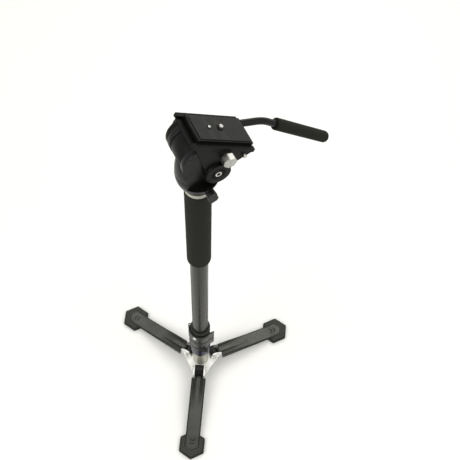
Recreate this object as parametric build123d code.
from build123d import *
from math import cos, radians, sin, sqrt, tan
import os

# Video tripod: one telescoping column on a three-leg folding base, with a fluid head and pan handle.
# Units are millimetres. Z is up, Z = 0 is the floor, and the column stands on the Z axis.
# The centre foot's underside, at the origin, is where the column stands when its legs are folded.
# The front leg points along -Y, and the other two stand 120 degrees to each side of it.

# Running gaps and fits
MOVING_GAP = 0.3
RUNNING_FIT = 0.05
SEAT_FIT = 0.02

# Three-leg base: the legs
LEG_ANGLES = (-90, 30, 150)
LEG_WIDTH = 33.2
LEG_START_RADIUS = 49.6
LEG_TOP_AT_START = 32.2
LEG_TOP_AT_END = 12.8
LEG_WALL = 2.4
LEG_SKIRT_AT_START = 11.0
LEG_SKIRT_AT_END = 3.6
LEG_RIB_HEIGHT = 4.0
LEG_RIB_WIDTH = 9.0
LEG_FLANGE_WIDTH = 4.4
LEG_RIB_LENGTH = 74.0
LEG_RIB_REACH = 5.0
LEG_TIP_OVERLAP = 10.0
LEG_TIP_REACH = 17.0
LEG_END_SETBACK = 16.6
LEG_TIP_THICKNESS = 3.6

# Three-leg base: the rubber feet
PAD_ACROSS_FLATS = 55.8
PAD_HEIGHT = 9.2
PAD_CHAMFER = 2.4
PAD_CENTRE_RADIUS = 199.0
CHEVRON_DEPTH = 1.0
CHEVRON_HALF_WIDTH = 5.5
CHEVRON_STROKE = 2.4
CHEVRON_SETBACKS = (23.0, 15.5)

# Three-leg base: hinges
HINGE_RADIUS = 30.0
HINGE_HEIGHT = 46.5
HINGE_PIN_R = 2.5
HINGE_PIN_HEAD_R = 3.6
HINGE_PIN_HEAD = 4.2
HINGE_EAR = 2.7
LINK_WIDTH = 20.4
LINK_EYE_R = 7.6
LINK_END_RADIUS = 84.0
LINK_DEPTH = 7.0

# Three-leg base: hub, plate and centre foot
HUB_R = 17.4
HUB_TOP = 97.0
HUB_BOTTOM = 12.0
PLATE_TOP = 38.0
PLATE_THICKNESS = 8.0
PLATE_TIP_RADIUS = 48.5
PLATE_PRONG_RADIUS = 43.0
PLATE_CORNER_RADIUS = 36.8
PLATE_CORNER_HALF_WIDTH = 15.7
EAR_CORNER_HEIGHT = 47.0
EAR_CHAMFER = 3.0
EAR_TOP = 57.0
EAR_TOP_RADIUS = 35.0
EAR_BACK_RADIUS = 26.0
EAR_ROOT_RADIUS = 19.0
PLATE_SLOT_START = 27.0
HUB_RING_R = 20.6
HUB_RING_HEIGHT = 8.0
CENTRE_FOOT_R = 15.0
CENTRE_FOOT_CHAMFER = 1.5

# Ball joint under the column
BALL_HEIGHT = 80.0
BALL_R = 12.0
STEM_R = 6.5
LINER_R = 14.2
LINER_BASE = 4.0
CAP_HEIGHT = 12.5
CAP_OPENING_R = 11.3

# Column tubes, from the thick top tube down to the thin bottom one
TUBE_R = (17.0, 15.0, 13.0, 11.0)
TUBE_WALL = 1.4
TUBE_TOP = 767.0
GLIDE_HEIGHT = 12.0
GLIDE_SPIGOT = 10.0
GLIDE_STEP = 26.0
GLIDE_FIRST_GAP = 15.0

# Flip locks, stacked while the column is closed
LOCK_R = 21.2
LOCK_HEIGHT = 30.0
LOCK_GAP = 0.5
LOCK_SEAT = 14.0
LOCK_STACK_TOP = 229.0
LEVER_THICKNESS = 3.6
LEVER_HEIGHT = 17.0
LEVER_SKIRT_HEIGHT = 28.6
LEVER_SKIRT_START = 20.0
LEVER_BELOW_RIM = 11.0
LEVER_HINGE_ANGLES = (176.0, 176.0, 134.0)
LEVER_HINGE_RADIUS = 23.3
LEVER_KNUCKLE_R = 3.4
LEVER_PIN_R = 1.5
LEVER_SWEEP = 156.0
LEVER_WING_HEIGHT = 25.0
LEVER_WING_REACH = 30.2
LEVER_WING_RISE = 10.2
LEVER_WING_ROOT = 3.6
LOCK_RECESS_ANGLE = 222.0
LOCK_RECESS_WIDTH = 15.0
LOCK_RECESS_DEPTH = 2.0
LOCK_RECESS_HEIGHT = 7.0
LOCK_RECESS_DROP = 4.0

# Collar that joins the bottom tube to the ball
COLLAR_R = 22.0
COLLAR_BOTTOM = 102.0
COLLAR_BORE_DEPTH = 30.0
STEM_TOP = 122.0
STEM_FLANGE_R = 8.2
STEM_FLANGE = 2.5
BUSH_WALL = 1.5

# Foam grip and the ring above it
GRIP_R = 22.15
GRIP_LENGTH = 230.0
GRIP_EDGE = 5.5
RING_R = 21.6
RING_HEIGHT = 10.0
RING_SPIGOT = 24.0
STUD_R = 4.76
STUD_BELOW = 15.0
STUD_ABOVE = 15.0

# Fluid head: pan housing
PAN_DEGREES = 210.0
TILT_DEGREES = 31.0
TILT_RISE = 76.7
PAN_FLANGE_R = 22.6
PAN_FLANGE = 4.0
PAN_BOSS_R = 12.0
PAN_BOSS = 19.0
HOUSING_FLOOR_GAP = 1.0
BOWL_R = 34.3
BOWL_NECK_R = 23.0
BOWL_WIDEST_DROP = 38.0
BOWL_TOP_R = 28.5
BOWL_TOP_DROP = 6.0
BOWL_FLAT_DROP = 53.0
BOWL_LOWER_BULGE = 0.935
BOWL_UPPER_BULGE = 0.955

# Fluid head: tilt barrel, set off to the operator's right of the column
BARREL_R = 31.7
DRUM_R = 31.2
DRUM_LEFT = 11.75
DRUM_RIGHT = -24.75
NECK_HALF_LENGTH = 22.0
NEAR_SUPPORT = 10.0
FAR_SUPPORT = 10.0
AXLE_R = 5.0

# Fluid head: platform and its side walls
PLATFORM_LEFT = 27.0
PLATFORM_RIGHT = -40.0
PLATFORM_FRONT = 41.0
PLATFORM_BACK = -71.0
PLATFORM_TOP = 38.5
PLATFORM_BED = 34.6
PLATFORM_UNDERSIDE = 32.3
CHEEK_THICKNESS = 4.6
ROSETTE_BACK = -30.0
ROSETTE_UP = -11.0
ROSETTE_R = 12.5
ROSETTE_BUSH_R = 5.0
BUSH_BORE_R = 3.0
BUSH_LENGTH = 9.0
CLAMP_SCREW_R = 4.0
LOBE_R = 20.0
CHEEK_LOBE_SHAPE = ((1.26, 0.15), (0.40, -0.75), (-0.70, -0.50), (-1.0, 0.30), (-1.05, 1.13))
CHEEK_BACK_SETBACK = 4.0
NEAR_ROSETTE_OUT = 5.0
FAR_COVER_OUT = 7.0
FAR_ROSETTE_OUT = 10.0

# Fluid head: sliding plate
RAIL_WIDTH = 8.0
DOVETAIL = 2.0
SLIDE_TOP = 43.0
SLIDE_PAD = 1.4
SLIDE_FRONT = 31.0
SLIDE_BACK = -69.0
SCREW_FORWARD = -18.0
SCREW_R = 3.175
SCREW_NECK_R = 2.4
SCREW_OUT = 5.5
SCREW_HEAD_R = 8.5
SCREW_HEAD = 3.0
VIDEO_PIN_FORWARD = 2.0
VIDEO_PIN_R = 2.2

# Fluid head: knobs and levers
PLATE_KNOB_BACK = -25.5
PLATE_KNOB_UP = 23.5
PLATE_KNOB_R = 11.0
PLATE_KNOB_LENGTH = 14.5
PLATE_KNOB_SIDES = 7
PLATE_KNOB_NECK = 3.0
PLATE_KNOB_NECK_R = 8.0
PLATE_KNOB_CHAMFER = 1.0
SAFETY_BACK = -55.0
SAFETY_UP = 28.0
SAFETY_R = 3.0
SAFETY_OUT = 6.0
SAFETY_TRAVEL = 3.0
TILT_KNOB_R = 13.0
TILT_KNOB_LENGTH = 16.0
AXLE_IN_KNOB = 10.0
PAN_LEVER_DEGREES = 98.0
PAN_LEVER_RISE = 17.0
PAN_LEVER_BOSS_R = 7.5
PAN_LEVER_BOSS_OUT = 1.5
PAN_LEVER_HUB = 8.0
PAN_LEVER_BLADE = 6.0
PAN_LEVER_LENGTH = 20.0
PAN_LEVER_SLANT = 12.0
LEVEL_DEGREES = 162.0
LEVEL_DROP = 32.0
LEVEL_DEPTH = 9.0
LEVEL_R = 6.5

# Pan handle
HANDLE_RISE_DEGREES = 13.7
HANDLE_DROP_DEGREES = 9.6
HANDLE_BEND_BACK = -150.0
HANDLE_TUBE_R = 6.0
HANDLE_ARM_LENGTH = 40.0
HANDLE_ARM_THICKNESS = 14.0
HANDLE_ARM_R = 8.0
HANDLE_BEND_R = 60.0
HANDLE_GRIP_R = 10.6
HANDLE_GRIP_LENGTH = 142.0
HANDLE_TOTAL_BACK = -322.0
HANDLE_KNOB_R = 12.0
HANDLE_KNOB_LENGTH = 18.0

# Worked-out places along the column
LEG_TIP_RADIUS = PAD_CENTRE_RADIUS + LEG_TIP_REACH
LEG_END_RADIUS = PAD_CENTRE_RADIUS - LEG_END_SETBACK
LEG_SLOPE = (LEG_TOP_AT_START - LEG_TOP_AT_END) / (LEG_END_RADIUS - LEG_START_RADIUS)
HALF_LEG = LEG_WIDTH / 2
PAD_POINT = PAD_ACROSS_FLATS / sqrt(3)
RING_TOP = TUBE_TOP + RING_HEIGHT
GRIP_BOTTOM = TUBE_TOP - GRIP_LENGTH
LINER_FLOOR = BALL_HEIGHT - BALL_R - LINER_BASE
COLLAR_TOP = LOCK_STACK_TOP - 3 * LOCK_HEIGHT
COLLAR_BORE_FLOOR = COLLAR_TOP - COLLAR_BORE_DEPTH
PAN_FLANGE_TOP = RING_TOP + PAN_FLANGE
BOWL_BOTTOM = PAN_FLANGE_TOP + MOVING_GAP
TILT_HEIGHT = BOWL_BOTTOM + TILT_RISE
NEAR_SUPPORT_OUTER = DRUM_LEFT + MOVING_GAP + NEAR_SUPPORT
FAR_SUPPORT_OUTER = DRUM_RIGHT - MOVING_GAP - FAR_SUPPORT
NEAR_CHEEK_INNER = NEAR_SUPPORT_OUTER + MOVING_GAP
FAR_CHEEK_INNER = FAR_SUPPORT_OUTER - MOVING_GAP
NEAR_CHEEK_OUTER = NEAR_CHEEK_INNER + CHEEK_THICKNESS
FAR_CHEEK_OUTER = FAR_CHEEK_INNER - CHEEK_THICKNESS


def cylinder_up(radius, bottom, top, x=0, y=0):
    return Pos(x, y, (bottom + top) / 2) * Cylinder(radius, top - bottom)


def cylinder_across(radius, right, left, x=0, z=0):
    return Pos(x, (right + left) / 2, z) * Rot(90, 0, 0) * Cylinder(radius, left - right)


def cylinder_along(radius, back, front, y=0, z=0):
    return Pos((back + front) / 2, y, z) * Rot(0, 90, 0) * Cylinder(radius, front - back)


def block(x0, x1, y0, y1, z0, z1):
    return Pos((x0 + x1) / 2, (y0 + y1) / 2, (z0 + z1) / 2) * Box(x1 - x0, y1 - y0, z1 - z0)


def side_prism(outline, right, left):
    face = make_face(Polyline(*[(x, right, z) for x, z in outline], close=True))
    return extrude(face, amount=left - right, dir=(0, 1, 0))


def flat_prism(outline, bottom, top):
    face = make_face(Polyline(*[(x, y, bottom) for x, y in outline], close=True))
    return extrude(face, amount=top - bottom, dir=(0, 0, 1))


def turned(outline):
    """A closed outline of (radius, height) points, turned about the column's axis."""
    face = make_face(Polyline(*[(r, 0, z) for r, z in outline], close=True))
    return revolve(face, axis=Axis.Z)


def wedge_sector(start, end, bottom, top, reach):
    """A fan of the full circle between two angles, to cut arcs out of rings."""
    steps = 6
    angles = [start + (end - start) * i / steps for i in range(steps + 1)]
    rim = [(reach * cos(radians(a)), reach * sin(radians(a))) for a in angles]
    return flat_prism([(0, 0)] + rim, bottom, top)


def around_column(shape, angle):
    return Rot(0, 0, angle) * shape


def on_pan(shape):
    """From the head's level frame (forward, left, up from the tilt axis) to the part's frame."""
    return Pos(0, 0, TILT_HEIGHT) * Rot(0, 0, PAN_DEGREES) * shape


def on_tilt(shape):
    """From the platform's own frame to the part's frame, with the platform nose up."""
    return on_pan(Rot(0, -TILT_DEGREES, 0) * shape)


def save(name, shape):
    solids = shape.solids()
    label = Compound(children=list(solids)) if len(solids) > 1 else solids[0]
    export_step(label, "parts/" + name + ".step")


# Legs

def leg_top(radius):
    return LEG_TOP_AT_START - (radius - LEG_START_RADIUS) * LEG_SLOPE


def leg_beam():
    """A moulded channel beam: a sloping top, side skirts, and a pointed tip that lies on the pad."""
    start, end = LEG_START_RADIUS, LEG_END_RADIUS
    mouth = end - LEG_TIP_OVERLAP
    outer = side_prism([
        (start, leg_top(start)), (end, leg_top(end)),
        (end, leg_top(end) - LEG_SKIRT_AT_END), (start, leg_top(start) - LEG_SKIRT_AT_START),
    ], -HALF_LEG, HALF_LEG)
    inner = side_prism([
        (start - 1, leg_top(start - 1) - LEG_WALL), (mouth, leg_top(mouth) - LEG_WALL),
        (mouth, 0), (start - 1, 0),
    ], -HALF_LEG + LEG_WALL, HALF_LEG - LEG_WALL)
    beam = outer - inner
    ridges = [(-LEG_RIB_WIDTH / 2, LEG_RIB_WIDTH / 2), (-HALF_LEG, -HALF_LEG + LEG_FLANGE_WIDTH),
              (HALF_LEG - LEG_FLANGE_WIDTH, HALF_LEG)]
    for right, left in ridges:
        root = start - LEG_RIB_REACH if left - right == LEG_RIB_WIDTH else start
        third = start + LEG_RIB_LENGTH / 3
        fade = start + LEG_RIB_LENGTH
        beam += side_prism([
            (root, leg_top(root) - LEG_WALL), (root, leg_top(root) + LEG_RIB_HEIGHT / 2),
            (start, leg_top(start) + LEG_RIB_HEIGHT), (third, leg_top(third) + LEG_RIB_HEIGHT),
            (fade, leg_top(fade)), (fade, leg_top(fade) - LEG_WALL),
        ], right, left)
    lies_on = PAD_HEIGHT
    shoulder = LEG_TIP_RADIUS - HALF_LEG / sqrt(3)
    tip = flat_prism([
        (mouth, -HALF_LEG), (shoulder, -HALF_LEG), (LEG_TIP_RADIUS, 0),
        (shoulder, HALF_LEG), (mouth, HALF_LEG),
    ], lies_on, lies_on + LEG_TIP_THICKNESS)
    beam += tip
    for setback in CHEVRON_SETBACKS:
        beam += chevron(LEG_TIP_RADIUS - setback, lies_on + LEG_TIP_THICKNESS)
    return beam


def chevron(radius, bottom):
    """A raised arrow mark that points out along the leg."""
    half = CHEVRON_HALF_WIDTH
    shoulder = radius - half / sqrt(3)
    stroke = CHEVRON_STROKE
    return flat_prism([
        (shoulder, -half), (radius, 0), (shoulder, half),
        (shoulder - stroke, half), (radius - stroke, 0), (shoulder - stroke, -half),
    ], bottom - CHEVRON_DEPTH, bottom + CHEVRON_DEPTH)


def leg_pad():
    """A hexagonal rubber foot with a chamfered top edge, its point outward."""
    hexagon = RegularPolygon(PAD_POINT, 6)
    pad = Pos(PAD_CENTRE_RADIUS, 0, 0) * extrude(hexagon, amount=PAD_HEIGHT)
    top_edges = pad.faces().sort_by(Axis.Z)[-1].edges()
    return chamfer(top_edges, PAD_CHAMFER)


def leg_link():
    """The tongue that carries the beam: an eye on the hinge pin, and a bar inside the channel."""
    half = LINK_WIDTH / 2
    eye = cylinder_across(LINK_EYE_R, -half, half, HINGE_RADIUS, HINGE_HEIGHT)
    under = LEG_WALL + SEAT_FIT
    mouth = LEG_START_RADIUS - LEG_RIB_REACH - MOVING_GAP
    far = LINK_END_RADIUS
    bar = side_prism([
        (HINGE_RADIUS, HINGE_HEIGHT - LINK_EYE_R), (HINGE_RADIUS + 2, HINGE_HEIGHT + LINK_EYE_R * 0.96),
        (mouth, leg_top(mouth) - under), (far, leg_top(far) - under),
        (far, leg_top(far) - under - LINK_DEPTH / 2), (mouth, leg_top(mouth) - under - LINK_DEPTH),
    ], -half, half)
    bore = cylinder_across(HINGE_PIN_R + RUNNING_FIT, -half - 1, half + 1, HINGE_RADIUS, HINGE_HEIGHT)
    return eye + bar - bore


def hinge_pins():
    half = LINK_WIDTH / 2 + MOVING_GAP + HINGE_EAR
    head = HINGE_PIN_HEAD
    pin = cylinder_across(HINGE_PIN_R, -half - head / 2, half + head / 2, HINGE_RADIUS, HINGE_HEIGHT)
    pin += cylinder_across(HINGE_PIN_HEAD_R, half, half + head, HINGE_RADIUS, HINGE_HEIGHT)
    pin += cylinder_across(HINGE_PIN_HEAD_R, -half - head, -half, HINGE_RADIUS, HINGE_HEIGHT)
    return Compound(children=[around_column(pin, angle) for angle in LEG_ANGLES])


# Hub and ball joint

def base_hub():
    """The turned aluminium socket that the three hinges and the ball sit in."""
    hub = cylinder_up(HUB_R, HUB_BOTTOM, HUB_TOP - CAP_HEIGHT)
    return hub - cylinder_up(LINER_R + SEAT_FIT, LINER_FLOOR, HUB_TOP)


def ball_liner():
    """A nylon cup under the ball."""
    liner = cylinder_up(LINER_R, LINER_FLOOR, HUB_TOP - CAP_HEIGHT)
    return liner - Pos(0, 0, BALL_HEIGHT) * Sphere(BALL_R + MOVING_GAP)


def socket_cap():
    """The screwed ring that keeps the ball in the hub, cut to a cone for the stem's lean."""
    bottom = HUB_TOP - CAP_HEIGHT
    cap = turned([
        (CAP_OPENING_R, bottom), (HUB_R, bottom), (HUB_R, HUB_TOP - 1.2), (HUB_R - 1.2, HUB_TOP),
        (CAP_OPENING_R + 0.8, HUB_TOP),
    ])
    return cap - Pos(0, 0, BALL_HEIGHT) * Sphere(BALL_R + MOVING_GAP)


def base_plate():
    """A bright three-cornered plate round the hub, with two upright ears for each hinge pin."""
    inner = LINK_WIDTH / 2 + MOVING_GAP
    outer = inner + HINGE_EAR
    outline = []
    for angle in LEG_ANGLES:
        for radius, side in ((PLATE_CORNER_RADIUS, -PLATE_CORNER_HALF_WIDTH), (PLATE_PRONG_RADIUS, -outer),
                             (PLATE_TIP_RADIUS, -outer), (PLATE_TIP_RADIUS, outer),
                             (PLATE_PRONG_RADIUS, outer), (PLATE_CORNER_RADIUS, PLATE_CORNER_HALF_WIDTH)):
            outline.append(beside_leg(angle, radius, side))
    bottom = PLATE_TOP - PLATE_THICKNESS
    plate = flat_prism(outline, bottom, PLATE_TOP)
    for angle in LEG_ANGLES:
        slot = block(PLATE_SLOT_START, PLATE_TIP_RADIUS + 1, -inner, inner, bottom - 1, HUB_TOP)
        plate -= around_column(slot, angle)
        for right, left in ((-outer, -inner), (inner, outer)):
            ear = side_prism([
                (EAR_ROOT_RADIUS, bottom), (PLATE_TIP_RADIUS, bottom), (PLATE_TIP_RADIUS, EAR_CORNER_HEIGHT),
                (PLATE_TIP_RADIUS - EAR_CHAMFER, EAR_CORNER_HEIGHT + EAR_CHAMFER),
                (EAR_TOP_RADIUS, EAR_TOP), (EAR_BACK_RADIUS, EAR_TOP), (EAR_ROOT_RADIUS, PLATE_TOP),
            ], right, left)
            plate += around_column(ear, angle)
        pin = cylinder_across(HINGE_PIN_R + SEAT_FIT, -outer - 1, outer + 1, HINGE_RADIUS, HINGE_HEIGHT)
        plate -= around_column(pin, angle)
    return plate - cylinder_up(HUB_R + SEAT_FIT, 0, HUB_TOP)


def beside_leg(angle, radius, side):
    """A point in plan, so far out along a leg and so far to one side of it."""
    turn = radians(angle)
    return radius * cos(turn) - side * sin(turn), radius * sin(turn) + side * cos(turn)


def hub_ring():
    """The black ring nut under the plate that clamps it on the hub."""
    top = PLATE_TOP - PLATE_THICKNESS
    ring = cylinder_up(HUB_RING_R, top - HUB_RING_HEIGHT, top)
    ring = chamfer(ring.edges().group_by(Axis.Z)[0], 1.0)
    return ring - cylinder_up(HUB_R + SEAT_FIT, 0, HUB_TOP)


def centre_foot():
    """The rubber foot under the hub."""
    foot = cylinder_up(CENTRE_FOOT_R, 0, HUB_BOTTOM)
    return chamfer(foot.edges().group_by(Axis.Z)[0], CENTRE_FOOT_CHAMFER)


def ball_stem():
    """The steel ball with the stem that the column turns on."""
    ball = Pos(0, 0, BALL_HEIGHT) * Sphere(BALL_R)
    ball += cylinder_up(STEM_R, BALL_HEIGHT, STEM_TOP)
    ball += cylinder_up(STEM_FLANGE_R, STEM_TOP, STEM_TOP + STEM_FLANGE)
    return ball


# Column

def lock_top(index):
    """Top of the flip lock at the foot of tube 0, 1 or 2, with the column closed."""
    return LOCK_STACK_TOP - index * LOCK_HEIGHT


def tube_inner(index):
    return TUBE_R[index] - TUBE_WALL


def tube_end(index):
    """Top end of each tube: every inner tube stops a little under the one round it."""
    if index == 0:
        return TUBE_TOP
    first = TUBE_TOP - RING_SPIGOT - GLIDE_FIRST_GAP - GLIDE_HEIGHT
    return first - (index - 1) * GLIDE_STEP


def column_tube(index):
    bottom = lock_top(index) - LOCK_SEAT if index < 3 else COLLAR_BORE_FLOOR
    tube = cylinder_up(TUBE_R[index], bottom, tube_end(index))
    return tube - cylinder_up(tube_inner(index), bottom - 1, tube_end(index) + 1)


def tube_glide(index):
    """The plastic plug on an inner tube's top end, which runs in the tube round it."""
    end = tube_end(index)
    glide = cylinder_up(tube_inner(index - 1) - RUNNING_FIT, end, end + GLIDE_HEIGHT)
    glide += cylinder_up(tube_inner(index) - SEAT_FIT, end - GLIDE_SPIGOT, end)
    return glide - cylinder_up(tube_inner(index) - 2.2, end - GLIDE_SPIGOT - 1, end + GLIDE_HEIGHT + 1)


def lever_hinge(index):
    turn = radians(LEVER_HINGE_ANGLES[index])
    return LEVER_HINGE_RADIUS * cos(turn), LEVER_HINGE_RADIUS * sin(turn)


def lever_band(index):
    top = lock_top(index) - LEVER_BELOW_RIM
    return top - LEVER_HEIGHT, top


def lock_collar(index):
    """The clamp body at a tube's foot: it grips the tube above and guides the thinner one inside."""
    top = lock_top(index)
    bottom = top - LOCK_HEIGHT + LOCK_GAP
    collar = cylinder_up(LOCK_R, bottom, top)
    collar = chamfer(collar.edges().group_by(Axis.Z)[-1], 1.6)
    collar -= cylinder_up(TUBE_R[index] + SEAT_FIT, top - LOCK_SEAT, top + 1)
    collar -= cylinder_up(TUBE_R[index + 1] + MOVING_GAP, bottom - 1, top)
    recess_top = lock_top(index) - LOCK_RECESS_DROP
    recess = block(LOCK_R - LOCK_RECESS_DEPTH, LOCK_R + 1, -LOCK_RECESS_WIDTH / 2, LOCK_RECESS_WIDTH / 2,
                   recess_top - LOCK_RECESS_HEIGHT, recess_top)
    collar -= around_column(recess, LOCK_RECESS_ANGLE)
    x, y = lever_hinge(index)
    low, high = lever_band(index)
    for z0, z1 in ((bottom, low - MOVING_GAP), (high + MOVING_GAP, top - 1.6)):
        ear = cylinder_up(LEVER_KNUCKLE_R, z0, z1, x, y)
        web = block(LOCK_R - LEVER_KNUCKLE_R, LEVER_HINGE_RADIUS, -LEVER_KNUCKLE_R, LEVER_KNUCKLE_R, z0, z1)
        ear += around_column(web, LEVER_HINGE_ANGLES[index])
        collar += ear
    collar -= cylinder_up(LEVER_KNUCKLE_R + MOVING_GAP, low - MOVING_GAP, high + MOVING_GAP, x, y)
    return collar - cylinder_up(LEVER_PIN_R + SEAT_FIT, bottom - 1, top + 1, x, y)


def lock_lever(index):
    """A curved flip lever round the front of its collar, with a skirt under it and a wing at the end."""
    low, high = lever_band(index)
    inner = LOCK_R + MOVING_GAP
    outer = inner + LEVER_THICKNESS
    band = cylinder_up(outer, low, high) - cylinder_up(inner, low - 1, high + 1)
    hinge = LEVER_HINGE_ANGLES[index]
    free = hinge + LEVER_SWEEP
    lever = band & wedge_sector(hinge, free, low, high, 2 * outer)
    hem = max(high - LEVER_SKIRT_HEIGHT, COLLAR_TOP + LOCK_GAP)
    skirt = cylinder_up(outer, hem, high) - cylinder_up(inner, hem - 1, high + 1)
    lever += skirt & wedge_sector(hinge + LEVER_SKIRT_START, free, hem, high, 2 * outer)
    x, y = lever_hinge(index)
    lever += cylinder_up(LEVER_KNUCKLE_R, low, high, x, y) - cylinder_up(inner, low - 1, high + 1)
    reach = LEVER_WING_REACH
    wing = flat_prism([
        (inner, 0), (inner + LEVER_THICKNESS / 2, LEVER_THICKNESS / 2), (reach - 1.2, LEVER_WING_RISE),
        (reach, LEVER_WING_RISE - 1.6), (outer, -LEVER_WING_ROOT),
        (outer - LEVER_THICKNESS / 2, -LEVER_WING_ROOT),
    ], max(high - LEVER_WING_HEIGHT, COLLAR_TOP + LOCK_GAP), high)
    lever += around_column(wing, free)
    return lever - cylinder_up(LEVER_PIN_R + RUNNING_FIT, low - 1, high + 1, x, y)


def lock_pin(index):
    x, y = lever_hinge(index)
    return cylinder_up(LEVER_PIN_R, lock_top(index) - LOCK_HEIGHT + LOCK_GAP, lock_top(index) - 1.6, x, y)


def foot_collar():
    """The anodised collar that grips the bottom tube and turns on the ball's stem."""
    collar = cylinder_up(COLLAR_R, COLLAR_BOTTOM, COLLAR_TOP)
    collar = chamfer(collar.edges().group_by(Axis.Z)[0], 1.8)
    collar = chamfer(collar.edges().group_by(Axis.Z)[-1], 1.0)
    collar -= cylinder_up(TUBE_R[3] + SEAT_FIT, COLLAR_BORE_FLOOR, COLLAR_TOP + 1)
    return collar - cylinder_up(STEM_R + BUSH_WALL + SEAT_FIT, COLLAR_BOTTOM - 1, COLLAR_TOP)


def stem_bush():
    """A bearing bush between the ball's stem and the foot collar."""
    bush = cylinder_up(STEM_R + BUSH_WALL, COLLAR_BOTTOM, COLLAR_BORE_FLOOR + 1)
    bush += cylinder_up(tube_inner(3) - SEAT_FIT, COLLAR_BORE_FLOOR, STEM_TOP - MOVING_GAP)
    return bush - cylinder_up(STEM_R + RUNNING_FIT, COLLAR_BOTTOM - 1, STEM_TOP + 1)


def column_grip():
    """A thick foam sleeve on the top tube, rounded at its lower end."""
    grip = cylinder_up(GRIP_R, GRIP_BOTTOM, TUBE_TOP)
    grip = fillet(grip.edges().group_by(Axis.Z)[0], GRIP_EDGE)
    grip = fillet(grip.edges().group_by(Axis.Z)[-1], 1.5)
    return grip - cylinder_up(TUBE_R[0] + SEAT_FIT, GRIP_BOTTOM - 1, TUBE_TOP + 1)


def mount_ring():
    """The bright disc that closes the top tube and carries the head's stud."""
    ring = cylinder_up(RING_R, TUBE_TOP, RING_TOP)
    ring = chamfer(ring.edges(), 0.8)
    ring += cylinder_up(tube_inner(0) - SEAT_FIT, TUBE_TOP - RING_SPIGOT, TUBE_TOP + 1)
    return ring - cylinder_up(STUD_R + SEAT_FIT, TUBE_TOP - RING_SPIGOT - 1, RING_TOP + 1)


def mount_stud():
    return cylinder_up(STUD_R, RING_TOP - RING_HEIGHT - STUD_BELOW, RING_TOP + STUD_ABOVE)


# Fluid head, level frame

def pan_base():
    """The fixed disc of the head, screwed down on the stud, with the boss that the housing turns on."""
    base = cylinder_up(PAN_FLANGE_R, RING_TOP, PAN_FLANGE_TOP)
    base += cylinder_up(PAN_BOSS_R, PAN_FLANGE_TOP, PAN_FLANGE_TOP + PAN_BOSS)
    return base - cylinder_up(STUD_R + SEAT_FIT, RING_TOP - 1, RING_TOP + STUD_ABOVE + 0.5)


def bowl():
    """The egg-shaped lower body of the housing."""
    bottom, middle, top = -TILT_RISE, -BOWL_WIDEST_DROP, -BOWL_TOP_DROP
    neck = (BOWL_NECK_R, 0, bottom)
    widest = (BOWL_R, 0, middle)
    rim = (BOWL_TOP_R, 0, top)
    side = ThreePointArc(neck, (BOWL_R * BOWL_LOWER_BULGE, 0, bottom + 0.4 * (middle - bottom)), widest)
    side += ThreePointArc(widest, (BOWL_R * BOWL_UPPER_BULGE, 0, middle + 0.55 * (top - middle)), rim)
    side += Polyline(rim, (0, 0, top), (0, 0, bottom), neck)
    return revolve(make_face(side), axis=Axis.Z)


def head_housing():
    """The cast pan housing: a bowl with two round bearings that stand either side of the drum."""
    housing = bowl()
    near = cylinder_across(BARREL_R, DRUM_LEFT + MOVING_GAP, NEAR_SUPPORT_OUTER)
    far = cylinder_across(BARREL_R, FAR_SUPPORT_OUTER, DRUM_RIGHT - MOVING_GAP)
    housing += near
    housing += far
    housing -= cylinder_across(BARREL_R + 2 * MOVING_GAP, DRUM_RIGHT - MOVING_GAP, DRUM_LEFT + MOVING_GAP)
    housing -= block(-BOWL_R - 1, BOWL_R + 1, NEAR_SUPPORT_OUTER, BOWL_R + 1,
                     -BOWL_FLAT_DROP, BARREL_R)
    housing -= cylinder_across(AXLE_R + SEAT_FIT, FAR_SUPPORT_OUTER - 1, NEAR_SUPPORT_OUTER + 1)
    bottom = -TILT_RISE
    housing -= cylinder_up(PAN_BOSS_R + RUNNING_FIT, bottom - 1, bottom + PAN_BOSS + HOUSING_FLOOR_GAP)
    housing += lever_boss() & block(-2 * BOWL_R, 2 * BOWL_R, -2 * BOWL_R, 2 * BOWL_R, bottom, 0)
    housing -= level_body(LEVEL_R + SEAT_FIT)
    return housing


def pan_lever_turn(shape):
    return Rot(0, 0, PAN_LEVER_DEGREES) * shape


def lever_boss():
    """The round boss low on the housing that the pan lock lever turns on."""
    inside = BOWL_NECK_R + 1
    return pan_lever_turn(cylinder_along(PAN_LEVER_BOSS_R, inside, BOWL_R + PAN_LEVER_BOSS_OUT,
                                         z=PAN_LEVER_RISE - TILT_RISE))


def pan_lock_lever():
    """The paddle that clamps the pan: a hub on the boss, and a blade that hangs beside the grip."""
    inner = BOWL_R + PAN_LEVER_BOSS_OUT + MOVING_GAP
    lever = cylinder_along(PAN_LEVER_BOSS_R, inner, inner + PAN_LEVER_HUB)
    reach = PAN_LEVER_LENGTH
    half = PAN_LEVER_BOSS_R
    corner = half / 2
    outline = [(half * 0.95, 0), (half * 1.1, corner - reach), (half * 0.6, -reach), (-half * 0.6, -reach),
               (-half * 1.05, corner - reach), (-half * 0.95, 0)]
    blade = make_face(Polyline(*[(inner, y, z) for y, z in outline], close=True))
    lever += extrude(blade, amount=PAN_LEVER_BLADE, dir=(1, 0, 0))
    slanted = Pos(0, 0, PAN_LEVER_RISE - TILT_RISE) * Rot(PAN_LEVER_SLANT, 0, 0) * lever
    return pan_lever_turn(slanted)


def level_body(radius):
    place = Pos(0, 0, -LEVEL_DROP) * Rot(0, 0, LEVEL_DEGREES) * Pos(BOWL_R, 0, 0)
    return place * Rot(0, 45, 0) * Cylinder(radius, LEVEL_DEPTH)


def bubble_level():
    """A small round spirit level set in the housing's shoulder."""
    return level_body(LEVEL_R)


def tilt_axle():
    end = FAR_CHEEK_OUTER - FAR_COVER_OUT - MOVING_GAP - AXLE_IN_KNOB
    return cylinder_across(AXLE_R, end, NEAR_SUPPORT_OUTER)


# Fluid head, platform frame

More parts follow.
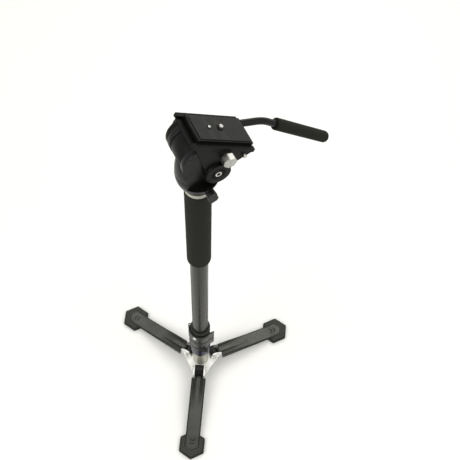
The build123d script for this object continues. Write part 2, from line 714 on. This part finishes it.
def platform_cradle():
    """The drum that tilts between the bearings, its neck, and the channel-shaped platform."""
    cradle = cylinder_across(DRUM_R, DRUM_RIGHT, DRUM_LEFT)
    deck_middle = (PLATFORM_UNDERSIDE + PLATFORM_BED) / 2
    cradle += block(-NECK_HALF_LENGTH, NECK_HALF_LENGTH, DRUM_RIGHT, DRUM_LEFT, 0, deck_middle)
    deck = block(PLATFORM_BACK, PLATFORM_FRONT, PLATFORM_RIGHT, PLATFORM_LEFT,
                 PLATFORM_UNDERSIDE, PLATFORM_TOP)
    deck -= dovetail(0)
    cradle += deck
    return cradle - cylinder_across(AXLE_R + RUNNING_FIT, DRUM_RIGHT - 1, DRUM_LEFT + 1)


def dovetail(gap):
    """The undercut channel along the platform, or the plate that slides in it with a gap."""
    left = PLATFORM_LEFT - RAIL_WIDTH - gap
    right = PLATFORM_RIGHT + RAIL_WIDTH + gap
    low, high = PLATFORM_BED + gap, PLATFORM_TOP
    outline = [(right - DOVETAIL, low), (left + DOVETAIL, low), (left, high), (left, SLIDE_TOP),
               (right, SLIDE_TOP), (right, high)]
    start, end = (PLATFORM_BACK - 1, PLATFORM_FRONT + 1) if gap == 0 else (SLIDE_BACK, SLIDE_FRONT)
    face = make_face(Polyline(*[(start, y, z) for y, z in outline], close=True))
    return extrude(face, amount=end - start, dir=(1, 0, 0))


def cheek_outline():
    """Side view of a side wall: from the platform's edge down to the rosette lobe behind the axle."""
    top = PLATFORM_UNDERSIDE
    front = PLATFORM_FRONT - (PLATFORM_TOP - top)
    lobe = [(ROSETTE_BACK + LOBE_R * x, ROSETTE_UP + LOBE_R * z) for x, z in CHEEK_LOBE_SHAPE]
    return [(front, top)] + lobe + [(PLATFORM_BACK + CHEEK_BACK_SETBACK, top)]


def cheek(right, left):
    wall = side_prism(cheek_outline(), right, left)
    wall += cylinder_across(LOBE_R, right, left, ROSETTE_BACK, ROSETTE_UP)
    return wall


def near_cheek():
    """The operator's left side wall, with a short boss for the spare handle rosette."""
    wall = cheek(NEAR_CHEEK_INNER, NEAR_CHEEK_OUTER)
    wall += cylinder_across(LOBE_R, NEAR_CHEEK_INNER, NEAR_CHEEK_OUTER + NEAR_ROSETTE_OUT,
                            ROSETTE_BACK, ROSETTE_UP)
    wall -= cylinder_across(ROSETTE_BUSH_R + SEAT_FIT, 0, NEAR_CHEEK_OUTER + 20, ROSETTE_BACK, ROSETTE_UP)
    wall -= cylinder_across(CLAMP_SCREW_R + RUNNING_FIT, 0, NEAR_CHEEK_OUTER + 20,
                            PLATE_KNOB_BACK, PLATE_KNOB_UP)
    wall -= cylinder_across(SAFETY_R + RUNNING_FIT, 0, NEAR_CHEEK_OUTER + 20, SAFETY_BACK, SAFETY_UP)
    return wall


def far_cover():
    """The right side wall: it carries the round barrel cover and the rosette for the pan handle."""
    wall = cheek(FAR_CHEEK_OUTER, FAR_CHEEK_INNER)
    cover = cylinder_across(BARREL_R - 0.5, FAR_CHEEK_OUTER - FAR_COVER_OUT, FAR_CHEEK_INNER)
    wall += fillet(cover.faces().sort_by(Axis.Y)[0].edges(), 5)
    wall += cylinder_across(ROSETTE_R, FAR_CHEEK_OUTER - FAR_ROSETTE_OUT, FAR_CHEEK_INNER,
                            ROSETTE_BACK, ROSETTE_UP)
    wall -= cylinder_across(AXLE_R + RUNNING_FIT, FAR_CHEEK_OUTER - 30, FAR_CHEEK_INNER + 1)
    wall -= cylinder_across(ROSETTE_BUSH_R + SEAT_FIT, FAR_CHEEK_OUTER - 30, FAR_CHEEK_INNER + 1,
                            ROSETTE_BACK, ROSETTE_UP)
    return wall


def rosette_bush():
    """The steel threaded bush in the spare rosette."""
    face = NEAR_CHEEK_OUTER + NEAR_ROSETTE_OUT
    bush = cylinder_across(ROSETTE_BUSH_R, face - BUSH_LENGTH, face, ROSETTE_BACK, ROSETTE_UP)
    return bush - cylinder_across(BUSH_BORE_R, 0, face + 1, ROSETTE_BACK, ROSETTE_UP)


def plate_lock_knob():
    """The bright faceted knob that clamps the sliding plate, with its screw through the side wall."""
    inner = NEAR_CHEEK_OUTER + MOVING_GAP
    neck_end = inner + PLATE_KNOB_NECK
    faceted = RegularPolygon(PLATE_KNOB_R, PLATE_KNOB_SIDES)
    head = extrude(faceted, amount=PLATE_KNOB_LENGTH - PLATE_KNOB_NECK)
    head = chamfer(head.edges(), PLATE_KNOB_CHAMFER)
    knob = cylinder_across(PLATE_KNOB_NECK_R, inner, neck_end + 1, PLATE_KNOB_BACK, PLATE_KNOB_UP)
    knob += Pos(PLATE_KNOB_BACK, neck_end, PLATE_KNOB_UP) * Rot(-90, 0, 0) * head
    knob += cylinder_across(CLAMP_SCREW_R, NEAR_CHEEK_INNER + MOVING_GAP, inner + 1,
                            PLATE_KNOB_BACK, PLATE_KNOB_UP)
    return knob


def safety_pin():
    """The sprung button beside the knob that lets the plate out."""
    return cylinder_across(SAFETY_R, NEAR_CHEEK_INNER + MOVING_GAP + SAFETY_TRAVEL,
                           NEAR_CHEEK_OUTER + SAFETY_OUT, SAFETY_BACK, SAFETY_UP)


def sliding_plate():
    """The quick-release plate: a dovetail bar with a slot for the camera screw."""
    plate = dovetail(MOVING_GAP)
    middle = (PLATFORM_LEFT + PLATFORM_RIGHT) / 2
    plate -= cylinder_up(SCREW_NECK_R + MOVING_GAP, 0, 99, SCREW_FORWARD, middle)
    plate -= cylinder_up(SCREW_HEAD_R + MOVING_GAP, 0, PLATFORM_BED + MOVING_GAP + SCREW_HEAD + MOVING_GAP,
                         SCREW_FORWARD, middle)
    plate -= cylinder_up(VIDEO_PIN_R + SEAT_FIT, SLIDE_TOP - 4, 99, VIDEO_PIN_FORWARD, middle)
    return plate


def plate_pad():
    """The thin rubber sheet on the sliding plate."""
    left = PLATFORM_LEFT - RAIL_WIDTH - 3
    right = PLATFORM_RIGHT + RAIL_WIDTH + 3
    middle = (PLATFORM_LEFT + PLATFORM_RIGHT) / 2
    pad = block(SLIDE_BACK + 4, SLIDE_FRONT - 4, right, left, SLIDE_TOP, SLIDE_TOP + SLIDE_PAD)
    pad -= cylinder_up(SCREW_R + 2, 0, 99, SCREW_FORWARD, middle)
    return pad - cylinder_up(VIDEO_PIN_R + 1, 0, 99, VIDEO_PIN_FORWARD, middle)


def camera_screw():
    """The quarter-inch camera screw, its head in the plate's underside."""
    middle = (PLATFORM_LEFT + PLATFORM_RIGHT) / 2
    floor = PLATFORM_BED + MOVING_GAP + SEAT_FIT
    seat = SLIDE_TOP + SLIDE_PAD
    screw = cylinder_up(SCREW_HEAD_R, floor, floor + SCREW_HEAD, SCREW_FORWARD, middle)
    screw += cylinder_up(SCREW_NECK_R, floor, seat + SCREW_OUT, SCREW_FORWARD, middle)
    return screw + cylinder_up(SCREW_R, seat, seat + SCREW_OUT, SCREW_FORWARD, middle)


def video_pin():
    middle = (PLATFORM_LEFT + PLATFORM_RIGHT) / 2
    return cylinder_up(VIDEO_PIN_R, SLIDE_TOP - 4, SLIDE_TOP + SLIDE_PAD + 2.6, VIDEO_PIN_FORWARD, middle)


def tilt_knob():
    """The lock knob on the end of the tilt axle."""
    inner = FAR_CHEEK_OUTER - FAR_COVER_OUT - MOVING_GAP
    knob = cylinder_across(TILT_KNOB_R, inner - TILT_KNOB_LENGTH, inner)
    knob = chamfer(knob.faces().sort_by(Axis.Y)[0].edges(), 2)
    for step in range(8):
        turn = radians(45 * step)
        reach = TILT_KNOB_R + 2.2
        knob -= cylinder_across(3.4, inner - 60, inner - 3, reach * cos(turn), reach * sin(turn))
    return knob - cylinder_across(AXLE_R + SEAT_FIT, inner - AXLE_IN_KNOB - SEAT_FIT, inner + 1)


# Pan handle, in the platform's frame

def handle_place():
    """Where the rosette sits: back and up in the platform's frame, and the handle's mid-plane."""
    face = FAR_CHEEK_OUTER - FAR_ROSETTE_OUT - MOVING_GAP
    return face, face - HANDLE_ARM_THICKNESS / 2


def bend_point():
    back = HANDLE_BEND_BACK
    return back, ROSETTE_UP + (ROSETTE_BACK - back) * tan(radians(HANDLE_RISE_DEGREES))


def end_point(back):
    bend_back, bend_up = bend_point()
    return back, bend_up - (bend_back - back) * tan(radians(HANDLE_DROP_DEGREES))


def handle_arm():
    """The clamp end of the handle: a toothed disc for the rosette and a socket for the tube."""
    face, middle = handle_place()
    arm = cylinder_across(ROSETTE_R, face - HANDLE_ARM_THICKNESS, face, ROSETTE_BACK, ROSETTE_UP)
    along = Pos(ROSETTE_BACK, middle, ROSETTE_UP) * Rot(0, HANDLE_RISE_DEGREES, 0)
    arm += along * cylinder_along(HANDLE_ARM_R, -HANDLE_ARM_LENGTH, 0)
    arm -= along * cylinder_along(HANDLE_TUBE_R + SEAT_FIT, -HANDLE_ARM_LENGTH - 1, -ROSETTE_R - 3)
    around = 2 * HANDLE_ARM_LENGTH
    arm = arm & (Pos(ROSETTE_BACK, middle, ROSETTE_UP) * Box(2 * around, HANDLE_ARM_THICKNESS, around))
    return arm - cylinder_across(CLAMP_SCREW_R + RUNNING_FIT, face - 60, face + 1, ROSETTE_BACK, ROSETTE_UP)


def handle_tube():
    """The bent metal tube, one gentle crank between the clamp and the grip."""
    face, middle = handle_place()
    rise = radians(HANDLE_RISE_DEGREES)
    start_run = ROSETTE_R + 3.5
    start = (ROSETTE_BACK - start_run * cos(rise), middle, ROSETTE_UP + start_run * sin(rise))
    bend_back, bend_up = bend_point()
    end_back, end_up = end_point(HANDLE_TOTAL_BACK + 6)
    path = FilletPolyline(start, (bend_back, middle, bend_up), (end_back, middle, end_up),
                          radius=HANDLE_BEND_R)
    section = Plane(origin=path @ 0, z_dir=path % 0) * Circle(HANDLE_TUBE_R)
    return sweep(section, path=path)


def handle_grip():
    """The soft sleeve on the handle, round at its free end."""
    face, middle = handle_place()
    end_back, end_up = end_point(HANDLE_TOTAL_BACK)
    place = Pos(end_back, middle, end_up) * Rot(0, -HANDLE_DROP_DEGREES, 0)
    grip = cylinder_along(HANDLE_GRIP_R, 0, HANDLE_GRIP_LENGTH)
    grip = fillet(grip.faces().sort_by(Axis.X)[0].edges(), HANDLE_GRIP_R - 3)
    grip = fillet(grip.faces().sort_by(Axis.X)[-1].edges(), 2)
    return place * (grip - cylinder_along(HANDLE_TUBE_R + SEAT_FIT, 5, HANDLE_GRIP_LENGTH + 1))


def handle_knob():
    """The wing-cut knob whose screw clamps the handle to the rosette."""
    face, middle = handle_place()
    outer = face - HANDLE_ARM_THICKNESS - MOVING_GAP
    knob = cylinder_across(HANDLE_KNOB_R, outer - HANDLE_KNOB_LENGTH, outer, ROSETTE_BACK, ROSETTE_UP)
    knob = chamfer(knob.faces().sort_by(Axis.Y)[0].edges(), 2)
    for step in range(6):
        turn = radians(60 * step)
        reach = HANDLE_KNOB_R + 2
        knob -= cylinder_across(3.8, outer - 60, outer - 4,
                                ROSETTE_BACK + reach * cos(turn), ROSETTE_UP + reach * sin(turn))
    knob += cylinder_across(CLAMP_SCREW_R, outer - 1, FAR_CHEEK_OUTER + 1, ROSETTE_BACK, ROSETTE_UP)
    return knob


def rosette_sleeve():
    """The steel threaded bush in the rosette that carries the handle."""
    out = FAR_CHEEK_OUTER - FAR_ROSETTE_OUT
    bush = cylinder_across(ROSETTE_BUSH_R, out, FAR_CHEEK_INNER - MOVING_GAP, ROSETTE_BACK, ROSETTE_UP)
    return bush - cylinder_across(CLAMP_SCREW_R + RUNNING_FIT, out - 1, FAR_CHEEK_INNER + 1,
                                  ROSETTE_BACK, ROSETTE_UP)


os.makedirs("parts", exist_ok=True)

save("base_hub", base_hub())
save("base_plate", base_plate())
save("hub_ring", hub_ring())
save("centre_foot", centre_foot())
save("ball_liner", ball_liner())
save("socket_cap", socket_cap())
save("leg_hinge_pins", hinge_pins())
for number, leg_angle in enumerate(LEG_ANGLES, start=1):
    save("leg_" + str(number) + "_beam", around_column(leg_beam(), leg_angle))
    save("leg_" + str(number) + "_link", around_column(leg_link(), leg_angle))
    save("leg_" + str(number) + "_pad", around_column(leg_pad(), leg_angle))
save("ball_stem", ball_stem())
save("foot_collar", foot_collar())
save("stem_bush", stem_bush())
for tube_number in range(4):
    save("column_tube_" + str(tube_number + 1), column_tube(tube_number))
    if tube_number > 0:
        save("tube_" + str(tube_number + 1) + "_glide", tube_glide(tube_number))
    if tube_number < 3:
        save("lock_" + str(tube_number + 1) + "_collar", lock_collar(tube_number))
        save("lock_" + str(tube_number + 1) + "_lever", lock_lever(tube_number))
        save("lock_" + str(tube_number + 1) + "_pin", lock_pin(tube_number))
save("column_grip", column_grip())
save("mount_ring", mount_ring())
save("mount_stud", mount_stud())
save("pan_base", pan_base())
save("head_housing", on_pan(head_housing()))
save("pan_lock_lever", on_pan(pan_lock_lever()))
save("bubble_level", on_pan(bubble_level()))
save("tilt_axle", on_pan(tilt_axle()))
save("tilt_lock_knob", on_pan(tilt_knob()))
save("platform_cradle", on_tilt(platform_cradle()))
save("left_side_wall", on_tilt(near_cheek()))
save("right_side_cover", on_tilt(far_cover()))
save("left_rosette_bush", on_tilt(rosette_bush()))
save("right_rosette_bush", on_tilt(rosette_sleeve()))
save("plate_lock_knob", on_tilt(plate_lock_knob()))
save("plate_safety_button", on_tilt(safety_pin()))
save("sliding_plate", on_tilt(sliding_plate()))
save("plate_pad", on_tilt(plate_pad()))
save("camera_screw", on_tilt(camera_screw()))
save("video_pin", on_tilt(video_pin()))
save("handle_arm", on_tilt(handle_arm()))
save("handle_tube", on_tilt(handle_tube()))
save("handle_grip", on_tilt(handle_grip()))
save("handle_knob", on_tilt(handle_knob()))
